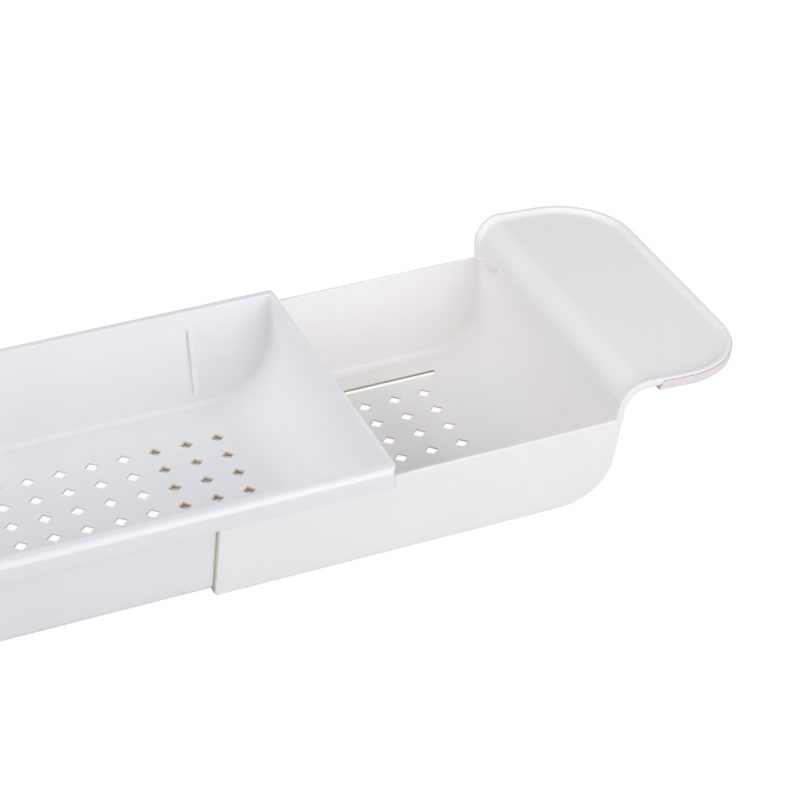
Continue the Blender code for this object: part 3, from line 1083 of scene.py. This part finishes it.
@dataclass
class SideTray:
    """A sliding tray whose end wall sweeps up and curls over into a dished flange."""

    fits: Fits
    finishes: Finishes
    top_below_rim: float = 5.8 * MM
    sweep_start: float = 21 * MM
    sweep_radius: float = 22 * MM
    end_draft: float = math.radians(5)
    fillet: float = 3.6 * MM
    outer_round: float = 1.2 * MM
    heel_radius: float = 2 * MM
    inner_edge_lean: float = 2.2 * MM
    inner_edge_reach: float = 4 * MM
    curl_radius: float = 11.5 * MM
    flange_above_rim: float = 11.2 * MM
    flange_reach: float = 53.7 * MM
    flange_corner: float = 34 * MM
    flange_slope: float = math.radians(2.9)
    rim_rise: float = 2 * MM
    ledge_width: float = 21 * MM
    ledge_proud: float = 1.5 * MM
    ledge_rise: float = 5 * MM
    ledge_depth: float = 3 * MM
    ledge_foot: float = 0.5 * MM
    ledge_round: float = 0.5 * MM
    pad_start: float = 4.4 * MM
    pad_end_lean: float = 2.5 * MM
    pad_rebate: float = 1 * MM
    pad_lip: float = 0.9 * MM
    slot_spare: float = 8 * MM
    slot_land: float = 14.2 * MM
    slot_corner: float = 0.6 * MM
    retract: float = 102 * MM
    extend: float = 18 * MM
    rail_width: float = 1.4 * MM
    rail_land: float = 0.45 * MM
    rail_corner: float = 2 * MM
    rail_round: float = 0.3 * MM
    pocket_rise: float = 0.2 * MM
    guide_lip: float = 0.35 * MM
    guide_lip_length: float = 3.5 * MM
    guide_lip_overlap: float = 0.3 * MM
    button_play: float = 0.5 * MM
    round_steps: int = 5
    curve_steps: int = 24

    @property
    def wall_top(self) -> float:
        """Height of the side walls' top."""
        return self.fits.rim_top - self.top_below_rim

    @property
    def slot_inner_end(self) -> float:
        """X of the slots' end that stops the tray when it is pulled out."""
        return (self.fits.last_column - self.fits.key_length / 2 - self.extend
                - self.fits.seat_gap)

    @property
    def slot_outer_end(self) -> float:
        """X of the slots' other end."""
        return (self.fits.last_column + self.fits.key_length / 2 + self.retract
                + self.slot_spare)

    @property
    def inner_end(self) -> float:
        """X of the tray's open end, under the centre tray."""
        return self.slot_inner_end - self.slot_land

    @property
    def sweep(self) -> Sweep:
        """The curve from the floor to the end wall."""
        return Sweep(self.fits.side_origin + self.sweep_start, self.fits.side_floor_top,
                     self.sweep_radius, self.end_draft)

    @property
    def curl_centre(self) -> tuple[float, float]:
        """X and Z of the centre of the curl, which runs on from the end wall.

        Returns:
            The two coordinates.
        """
        z = self.fits.rim_top + self.flange_above_rim - self.curl_radius
        head = self.sweep.wall_x(z + self.curl_radius * math.sin(self.end_draft))
        return head + self.curl_radius * math.cos(self.end_draft), z

    @property
    def flange_end(self) -> float:
        """X of the flange's outer edge."""
        return self.curl_centre[0] + self.flange_reach

    def flange_z(self, x: float, depth: float) -> float:
        """Height, at a place along X, of the plane so far below the flange's top face.

        Args:
            x: The place.
            depth: How far the plane lies below the top face.

        Returns:
            The height.
        """
        centre_x, centre_z = self.curl_centre
        crest = centre_z + (self.curl_radius - depth) / math.cos(self.flange_slope)
        return crest - (x - centre_x) * math.tan(self.flange_slope)

    def draw_run(self, section: Section, offset: float, end: float) -> None:
        """Draw on along the floor, the sweep, the end wall, the curl and the flange.

        Args:
            section: The section, which stands on the floor.
            offset: How far the line lies outside the tray's inner face.
            end: X at which it stops on the flange.
        """
        y, lean, sweep = self.fits.drawing_y, self.end_draft, self.sweep
        curl_x, curl_z = self.curl_centre
        radius = self.curl_radius - offset
        section.lines((sweep.x, y, sweep.floor - offset))
        section.turn((sweep.x, y, sweep.z), math.pi / 2 - lean, self.curve_steps)
        section.lines((curl_x - radius * math.cos(lean), y,
                       curl_z + radius * math.sin(lean)))
        section.turn((curl_x, y, curl_z), -(math.pi / 2 - lean + self.flange_slope),
                     self.curve_steps)
        section.lines((end, y, self.flange_z(end, offset)))

    def round_corners(self, piece: Piece, end: float, radius: float) -> None:
        """Round the upright corners of a solid with the flange, whose end lies at an X.

        Args:
            piece: The solid.
            end: X of its end face.
            radius: The corners' radius.
        """

        def is_corner(middle: Vector, normals: Normals) -> bool:
            """Pass an upright edge of the end face."""
            return middle.x > end - MERGE and all(abs(n.z) < 0.4 for n in normals)

        round_off(piece, is_corner, radius, self.curve_steps)

    def body(self) -> Piece:
        """The tray's outer shape, still solid.

        Returns:
            The solid, its outer edges rounded.
        """
        fits, y = self.fits, self.fits.drawing_y
        heel, low = self.heel_radius, fits.rail_depth + self.heel_radius
        curl_x, curl_z = self.curl_centre
        radius = self.curl_radius + self.rim_rise
        head_x = curl_x - radius * math.cos(self.end_draft)
        head_z = curl_z + radius * math.sin(self.end_draft)
        rim_start = self.sweep.wall_x(self.wall_top) + head_x - self.sweep.wall_x(head_z)
        section = Section("side_tray_moulding", (self.inner_end, y, low))
        section.turn((self.inner_end + heel, y, low), math.pi / 2, self.round_steps)
        self.draw_run(section, fits.wall, self.flange_end)
        for x in (self.flange_end, curl_x + radius * math.sin(self.flange_slope)):
            section.lines((x, y, self.flange_z(x, -self.rim_rise)))
        section.turn((curl_x, y, curl_z), math.pi / 2 - self.end_draft + self.flange_slope,
                     self.curve_steps)
        section.lines((rim_start, y, self.wall_top),
                      (self.inner_end + self.inner_edge_lean, y, self.wall_top))
        piece = fits.between_walls(section, fits.side_outer)
        self.round_corners(piece, self.flange_end, self.flange_corner)

        def is_under_edge(middle: Vector, normals: Normals) -> bool:
            """Pass an edge of the underside or of the heel."""
            n = run_normal(normals)
            return n is not None and (n.z - n.x < 0.0 or middle.x < self.inner_end + heel)

        round_off(piece, is_under_edge, self.outer_round, self.round_steps)
        return piece

    def mouth(self) -> Piece:
        """What is taken out at the open end, where a lip on each wall guides the tray.

        Returns:
            The solid, narrower than the hollow behind it.
        """
        fits, y, floor = self.fits, self.fits.drawing_y, self.fits.side_floor_top
        start, lid = self.inner_end - fits.overrun, self.wall_top + fits.overrun
        end = self.inner_end + self.guide_lip_length + self.guide_lip_overlap
        section = Section("side_mouth", (start, y, floor), (end, y, floor), (end, y, lid),
                          (start, y, lid))
        return fits.between_walls(section, fits.side_inner - self.guide_lip)

    def hollow(self) -> Piece:
        """What is taken out of the tray's solid shape.

        Returns:
            The solid, its lower edges rounded.
        """
        fits, y = self.fits, self.fits.drawing_y
        end = self.flange_end - fits.wall
        lid = fits.rim_top + self.flange_above_rim + self.rim_rise + fits.overrun
        start = self.inner_end + self.guide_lip_length
        section = Section("side_hollow", (start, y, fits.side_floor_top))
        self.draw_run(section, 0.0, end)
        section.lines((end, y, lid), (start, y, lid))
        piece = fits.between_walls(section, fits.side_inner)
        self.round_corners(piece, end, self.flange_corner - fits.wall)

        def is_foot(_: Vector, normals: Normals) -> bool:
            """Pass an edge between the run and a wall."""
            n = run_normal(normals)
            return n is not None and n.z - n.x < 0.0 and n.x > -0.5

        round_off(piece, is_foot, self.fillet, self.round_steps)
        join(piece, self.mouth(), Joining.FUSE)
        return piece

    def round_lips(self, tray: Piece) -> None:
        """Ease the edges of the walls' tops, of the rim and of the walls' inner ends.

        Args:
            tray: The hollowed tray.
        """
        curl_x = self.curl_centre[0]

        def is_lip(middle: Vector, normals: Normals) -> bool:
            """Pass an edge between a top and a side."""
            inward = Vector((min(middle.x, curl_x) - middle.x, -middle.y, 0.0)).normalized()
            tops = [abs(n.y) < 0.02 and n.z - n.x > 0.5 for n in normals]
            sides = [abs(n.dot(inward)) > 0.3 for n in normals]
            if middle.x < self.inner_end + self.inner_edge_reach:
                tops = [n.z > 0.9 and middle.z > self.wall_top - NEAR for n in normals]
                sides = [n.z < 0.5 for n in normals]
            return any(tops) and any(sides) and not all(tops)

        round_off(tray, is_lip, self.fits.lip, self.fits.lip_steps)

    def ledge(self) -> Piece:
        """A wedge on the end wall, which carries the far wall's top on round the corner.

        Returns:
            The ledge, its back sunk in the end wall.
        """
        fits, top, proud = self.fits, self.wall_top, self.ledge_proud
        corner = fits.half_width(top, fits.side_inner) + fits.wall / 2
        inner = corner - self.ledge_width
        points = [(self.sweep.wall_x(z) - out, y, z) for y, z, out in (
            (corner, top - self.ledge_depth, 0.0), (inner, top - self.ledge_foot, 0.0),
            (inner, top + self.ledge_rise, proud), (corner, top, proud))]
        piece = Section("ledge", *points).extrude((proud + fits.wall / 2, 0.0, 0.0))
        round_off(piece, lambda _, normals: any(n.x < -0.9 for n in normals),
                  self.ledge_round, fits.lip_steps)
        return piece

    def rail(self, y: float) -> Piece:
        """A rail round a guide slot, with the pocket that the buttons' heads run in.

        Args:
            y: Y of the slot's middle.

        Returns:
            The rail, its top sunk in the floor.
        """
        fits, inner, outer = self.fits, self.slot_inner_end, self.slot_outer_end
        pocket = fits.button_radius + self.button_play
        reach = pocket + self.rail_width
        piece = block("rail", (inner - reach, y - reach, 0.0),
                      (outer + reach, y + reach, fits.rail_depth + fits.wall / 2))
        round_off(piece, upright, self.rail_corner, self.round_steps)
        round_off(piece, facing_down, self.rail_round, 2)
        pick(piece, Kind.FACE, lambda _, normals: normals[0].z < -0.99)
        bpy.ops.mesh.inset(thickness=self.rail_land)
        draw_out((0.0, 0.0, fits.rail_depth + self.pocket_rise))
        middle = Vector(((inner + outer) / 2, y, MM))
        draft = self.rail_width - self.rail_round - self.rail_land
        length = (outer - inner) / 2 + pocket
        bpy.ops.transform.resize(
            value=(length / (length + draft), pocket / (pocket + draft), 1.0),
            center_override=middle)
        # The pocket's inner faces take the hole finish, whose tan is painted warm shade.
        mark(piece, lambda centre, normals: (middle - centre).dot(normals[0]) > 0.0)
        return piece

    def slot(self, y: float) -> Piece:
        """What is cut out for a guide slot, wider on the underside as the drain holes are.

        Args:
            y: Y of the slot's middle.

        Returns:
            The solid, its faces in the second material slot, whose tan paints warm shade on
            the slot's walls.
        """
        fits, half = self.fits, self.fits.slot_width / 2
        inner, outer = self.slot_inner_end, self.slot_outer_end
        land = fits.side_floor_top - fits.hole_land
        piece = block("slot", (inner, y - half, land),
                      (outer, y + half, fits.side_floor_top + fits.overrun))
        round_off(piece, upright, self.slot_corner, fits.lip_steps)
        pick(piece, Kind.FACE, facing_down)
        sink = land - fits.rail_depth + fits.lip
        draw_out((0.0, 0.0, -sink))
        wider = fits.relief_slope * sink
        bpy.ops.transform.resize(
            value=(1 + 2 * wider / (outer - inner), 1 + wider / half, 1.0),
            center_override=((inner + outer) / 2, y, land))
        draw_out((0.0, 0.0, -fits.lip))
        # The slot's walls take the hole finish: tan painted warm shade.
        mark(piece, lambda *_: True)
        return piece

    def flange_plan(self, name: str, inset: float, low: float, high: float, start: float,
                    lean: float = 0.0) -> Piece:
        """The flange's plan from start to its rounded end, as a solid.

        Args:
            name: The object's name.
            inset: How far its sides and end lie inside the flange's.
            low: How far its lower plane lies below the flange's top face.
            high: How far its upper plane lies below it.
            start: X at which its lower plane starts.
            lean: How much later its upper plane starts.

        Returns:
            The solid.
        """
        y, end = self.fits.drawing_y, self.flange_end - inset
        corners = ((start, low), (end, low), (end, high), (start + lean, high))
        section = Section(name, *((x, y, self.flange_z(x, depth)) for x, depth in corners))
        piece = self.fits.between_walls(section, self.fits.side_outer - inset)
        self.round_corners(piece, end, self.flange_corner - inset)
        return piece

    def cut_rebate(self, tray: Piece) -> None:
        """Cut the step round the flange's edge that the grip pad fills.

        Args:
            tray: The tray to cut.
        """
        over = self.fits.overrun
        low, high = self.fits.wall + over, self.pad_lip - self.rim_rise
        start = self.curl_centre[0] + self.pad_start
        rebate = self.flange_plan("rebate", -over, low, high, start, self.pad_end_lean)
        core = self.flange_plan("core", self.pad_rebate, low + over, high - over,
                                start - over)
        join(rebate, core, Joining.CUT)
        join(tray, rebate, Joining.CUT)

    def build(self) -> None:
        """Make the right-hand tray and its turned copy, and install both."""
        fits, lean_end = self.fits, self.inner_end + self.inner_edge_lean
        tray = self.body()
        join(tray, self.hollow(), Joining.CUT)
        self.round_lips(tray)
        # The walls' open inner end faces take the hole finish, whose tan is painted warm
        # shade on them.
        mark(tray, lambda centre, normals: centre.x < lean_end and normals[0].x < -0.5)
        dress(tray, self.finishes.side.build(), self.finishes.hole.build())
        join(tray, self.ledge(), Joining.FUSE)
        slots = []
        for y in (-fits.slot_y, fits.slot_y):
            join(tray, self.rail(y), Joining.FUSE)
            slots.append(self.slot(y))
        self.cut_rebate(tray)
        first_x = fits.side_origin - (fits.side_columns - 1) * fits.hole_pitch
        holes = fits.drain_holes(first_x, fits.side_columns, fits.rail_depth,
                                 fits.side_floor_top, fits.relief_slope)
        for tool in (*slots, holes):
            join(tray, tool, Joining.CUT)
        smooth(tray)
        install_pair(tray, "tray_moulding", "side_tray")


# ---------------------------------------------------------------------- grip pads


@dataclass
class GripPad:
    """The soft pad that wraps a flange's edge and underside and grips the bath."""

    tray: SideTray
    finishes: Finishes
    floor: float = 2.1 * MM
    proud: float = 0.5 * MM
    edge_round: float = 1.0 * MM
    groove_pitch: float = 4.5 * MM
    groove_width: float = 1.6 * MM
    groove_depth: float = 0.6 * MM
    groove_below: float = 2 * MM
    groove_half_length: float = 52 * MM
    groove_corner: float = 0.7 * MM
    groove_round: float = 0.3 * MM
    groove_count: int = 8
    first_groove: float = 7 * MM
    steps: int = 4

    def grooves(self, start: float, low: float) -> Piece:
        """The row of grooves across the pad's sole.

        Args:
            start: X of the pad's inner edge.
            low: How far the sole lies below the flange's top face.

        Returns:
            The grooves as solids.
        """
        x, half = start + self.first_groove, self.groove_half_length
        z = self.tray.flange_z(x, low)
        bar = block("grooves", (x, -half, z - self.groove_below),
                    (x + self.groove_width, half, z + self.groove_depth))
        round_off(bar, upright, self.groove_corner, self.steps)
        round_off(bar, facing_up, self.groove_round, 2)
        fall = -self.groove_pitch * math.tan(self.tray.flange_slope)
        repeat(bar, self.groove_count, (self.groove_pitch, 0.0, fall))
        return bar

    def build(self) -> None:
        """Make the right-hand pad and its turned copy, and install both."""
        tray, fits = self.tray, self.tray.fits
        seat = fits.wall + fits.seat_gap
        low, high = seat + self.floor, tray.pad_lip - tray.rim_rise + fits.seat_gap
        start = tray.curl_centre[0] + tray.pad_start + fits.seat_gap
        pad = tray.flange_plan("right_grip", -self.proud, low, high, start,
                               tray.pad_end_lean)

        def is_edge(_: Vector, normals: Normals) -> bool:
            """Pass an edge between the sides, the inner end and the sole."""
            sides = any(abs(n.y) > 0.1 or (n.x > 0.9 and abs(n.z) < 0.01) for n in normals)
            ends = any(n.x < -0.5 for n in normals)
            soles = any(n.z < -0.9 for n in normals)
            return sides + ends + soles > 1

        round_off(pad, is_edge, self.edge_round, self.steps)
        core = tray.flange_plan("seat", tray.pad_rebate - fits.seat_gap, seat,
                                high - fits.overrun, start - fits.overrun)
        join(pad, core, Joining.CUT)
        join(pad, self.grooves(start, low), Joining.CUT)
        dress(pad, self.finishes.grip.build())
        smooth(pad)
        install_pair(pad, "grip", "grip_pad")


# ------------------------------------------------------------------ guide buttons


@dataclass
class GuideButtons:
    """Four buttons, pressed into the keys from below, that hold the side trays up."""

    fits: Fits
    finishes: Finishes
    thickness: float = 1.4 * MM
    edge_round: float = 0.35 * MM
    pin_radius: float = 0.8 * MM
    pin_length: float = 3 * MM
    chamfer: float = 0.3 * MM
    dimple_radius: float = 1.3 * MM
    dimple_depth: float = 0.25 * MM
    edge_steps: int = 4
    turned_steps: int = 40

    def button(self, x: float, y: float) -> Piece:
        """Turn one button from its half profile.

        Args:
            x: Where it stands along the caddy.
            y: Where it stands across it.

        Returns:
            The button.
        """
        top = self.fits.key_foot - self.fits.seat_gap
        foot, tip = top - self.thickness, top + self.pin_length
        pin, dimple, edge = self.pin_radius, self.dimple_radius, self.edge_round
        rim, roof = self.fits.button_radius - edge, foot + self.dimple_depth
        head = ((0.0, roof), (dimple - self.chamfer, roof), (dimple, foot), (rim, foot))
        stem = ((rim + edge, top), (pin, top), (pin, tip - self.chamfer),
                (pin - self.chamfer, tip), (0.0, tip))
        section = Section("guide_button", *((x + radius, y, z) for radius, z in head))
        section.turn((x + rim, y, foot + edge), math.pi / 2, self.edge_steps)
        section.lines(*((x + radius, y, z) for radius, z in stem))
        bpy.ops.mesh.select_all(action="SELECT")
        bpy.ops.mesh.spin(steps=self.turned_steps, angle=2 * math.pi, center=(x, y, top),
                          axis=(0.0, 0.0, 1.0))
        bpy.ops.mesh.select_all(action="SELECT")
        bpy.ops.mesh.remove_doubles(threshold=MERGE)
        face_outward()
        activate(section.piece)
        return section.piece

    def build(self) -> None:
        """Make and install the four buttons."""
        fits = self.fits
        first = self.button(fits.last_column, -fits.slot_y)
        dress(first, self.finishes.button.build())
        smooth(first)
        for word, end in (("right", 1), ("left", -1)):
            for place, side in (("near", -1), ("far", 1)):
                way = ((end - 1) * fits.last_column, (side + 1) * fits.slot_y, 0.0)
                piece = copied(first, f"{word}_{place}_button", way, 0.0)
                install(piece, Body.CENTRE, f"guide_button_{word}_{place}")
        bpy.data.objects.remove(first)


# -------------------------------------------------------------- studio and camera


@dataclass(frozen=True)
class SoftBox:
    """One square studio lamp, its light a trace cooler than the plastics.

    Attributes:
        size: Length of its side.
        power: Its power in watts.
    """

    name: str
    place: Point
    size: float
    power: float
    colour: str = "f8f9ff"

    def build(self, target: Vector) -> None:
        """Hang the lamp.

        Args:
            target: What it points at.
        """
        bpy.ops.object.light_add(type="AREA", location=self.place)
        lamp = bpy.context.object
        lamp.name = self.name
        lamp.data.shape = "SQUARE"
        lamp.data.size = self.size
        lamp.data.energy = self.power
        lamp.data.color = linear(self.colour)[:3]
        aim = target - Vector(self.place)
        lamp.rotation_euler = aim.to_track_quat("-Z", "Y").to_euler()


@dataclass
class Studio:
    """Plain soft light on white paper, seen as in the photograph."""

    paper: PaperSweep = PaperSweep()
    sky: float = 0.386
    sky_colour: str = "f6f8ff"
    lamps: tuple[SoftBox, ...] = (
        SoftBox("front_softbox", (0.6, -1.13, 0.49), 0.8, 9.3),
        SoftBox("left_softbox", (-1.74, 0.1, 1.27), 1.6, 22.7),
        SoftBox("top_softbox", (0.29, -0.05, 2.2), 1.8, 5.3),
    )
    target: Point = (0.29137, 0.03286, 0.0064)
    distance: float = 1.16077
    azimuth: float = math.radians(-21.65)
    elevation: float = math.radians(33.67)
    roll: float = math.radians(-0.91)
    lens: float = 111.16
    sensor: float = 36.0
    paper_size: float = 10.0
    paper_drop: float = 0.2 * MM
    paper_hang: float = 0.3
    paper_bend: float = 0.25

    def lay_paper(self) -> None:
        """Lay the paper that the caddy stands on, its edges curving down."""
        bpy.ops.object.select_all(action="DESELECT")
        bpy.ops.mesh.primitive_plane_add(size=self.paper_size,
                                         location=(0.0, 0.0, -self.paper_drop))
        floor = settle("studio_paper")
        pick(floor, Kind.EDGE, lambda *_: True)
        draw_out((0.0, 0.0, -self.paper_hang))
        activate(floor)
        round_off(floor, lambda middle, normals: len(normals) == 2 and middle.z > -0.01,
                  self.paper_bend, 6)
        dress(floor, self.paper.build())

    def light_world(self) -> None:
        """Light the scene evenly from all round, with plain white behind it."""
        world = bpy.data.worlds.new("studio_white")
        bpy.context.scene.world = world
        world.use_nodes = True
        tree = world.node_tree
        seen = seen_directly(tree)
        strength = add_node(tree, "ShaderNodeMapRange", {}, {
            "Value": seen, "To Min": self.sky, "To Max": 1.0})
        shader = tree.nodes["Background"]
        tint = mix_colours(tree, seen, self.sky_colour, "ffffff")
        tree.links.new(tint, shader.inputs["Color"])
        tree.links.new(strength.outputs["Result"], shader.inputs["Strength"])

    def set_camera(self) -> None:
        """Put the camera where the photograph was taken from."""
        az, el, roll = self.azimuth, self.elevation, self.roll
        ahead = Vector((-math.sin(az) * math.cos(el), math.cos(az) * math.cos(el),
                        -math.sin(el)))
        right = Vector((math.cos(az), math.sin(az), 0.0))
        up = right.cross(ahead)
        level = Matrix((right * math.cos(roll) + up * math.sin(roll),
                        up * math.cos(roll) - right * math.sin(roll), -ahead)).transposed()
        bpy.ops.object.camera_add(location=Vector(self.target) - ahead * self.distance,
                                  rotation=level.to_euler())
        camera = bpy.context.object
        camera.name = "photograph_view"
        camera.data.sensor_width = self.sensor
        camera.data.lens = self.lens
        bpy.context.scene.camera = camera

    def build(self) -> None:
        """Lay the paper, hang the lamps and set up the camera."""
        self.set_camera()
        self.lay_paper()
        self.light_world()
        for lamp in self.lamps:
            lamp.build(Vector(self.target))
        bpy.context.scene.view_settings.view_transform = "Standard"


def main() -> None:
    """Build the caddy over the frame, piece by piece."""
    logging.basicConfig(level=logging.INFO, format="%(name)s: %(message)s")
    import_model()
    fits, finishes = Fits(), Finishes()
    Studio().build()
    CentreTray(fits, finishes).build()
    side_tray = SideTray(fits, finishes)
    side_tray.build()
    GripPad(side_tray, finishes).build()
    GuideButtons(fits, finishes).build()


if __name__ == "__main__":
    main()
